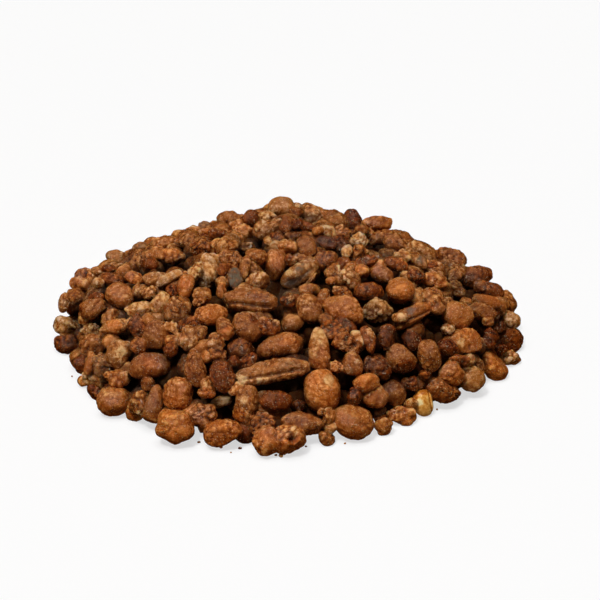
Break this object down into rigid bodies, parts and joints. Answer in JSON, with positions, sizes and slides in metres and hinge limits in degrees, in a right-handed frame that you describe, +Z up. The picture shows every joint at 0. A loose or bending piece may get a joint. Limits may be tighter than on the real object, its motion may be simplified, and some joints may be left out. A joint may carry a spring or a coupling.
{
  "type": "heap of candied pecans",
  "caption": "Low, rounded heap of sugar-crusted pecan pieces as it lies on a flat surface, with an uneven outline and a flat foot.",
  "frame": {"origin": "middle of the heap's bounding box, at ground level", "axes": "+Z is up, +X runs along the heap's greater width, and -Y faces the viewer of the pictured side"},
  "size_m": [0.2363, 0.2227, 0.0618],
  "materials": {
    "candied_crust": "grainy caramel sugar crust, satin, mottled from amber to dark brown",
    "dark_caramel": "dark glossy caramel, smooth where it pooled",
    "bare_kernel": "toasted nut kernel with little or no crust, satin"
  },
  "bodies": {
    "root": {"pecan_heap": "candied_crust"}
  },
  "joints": []
}
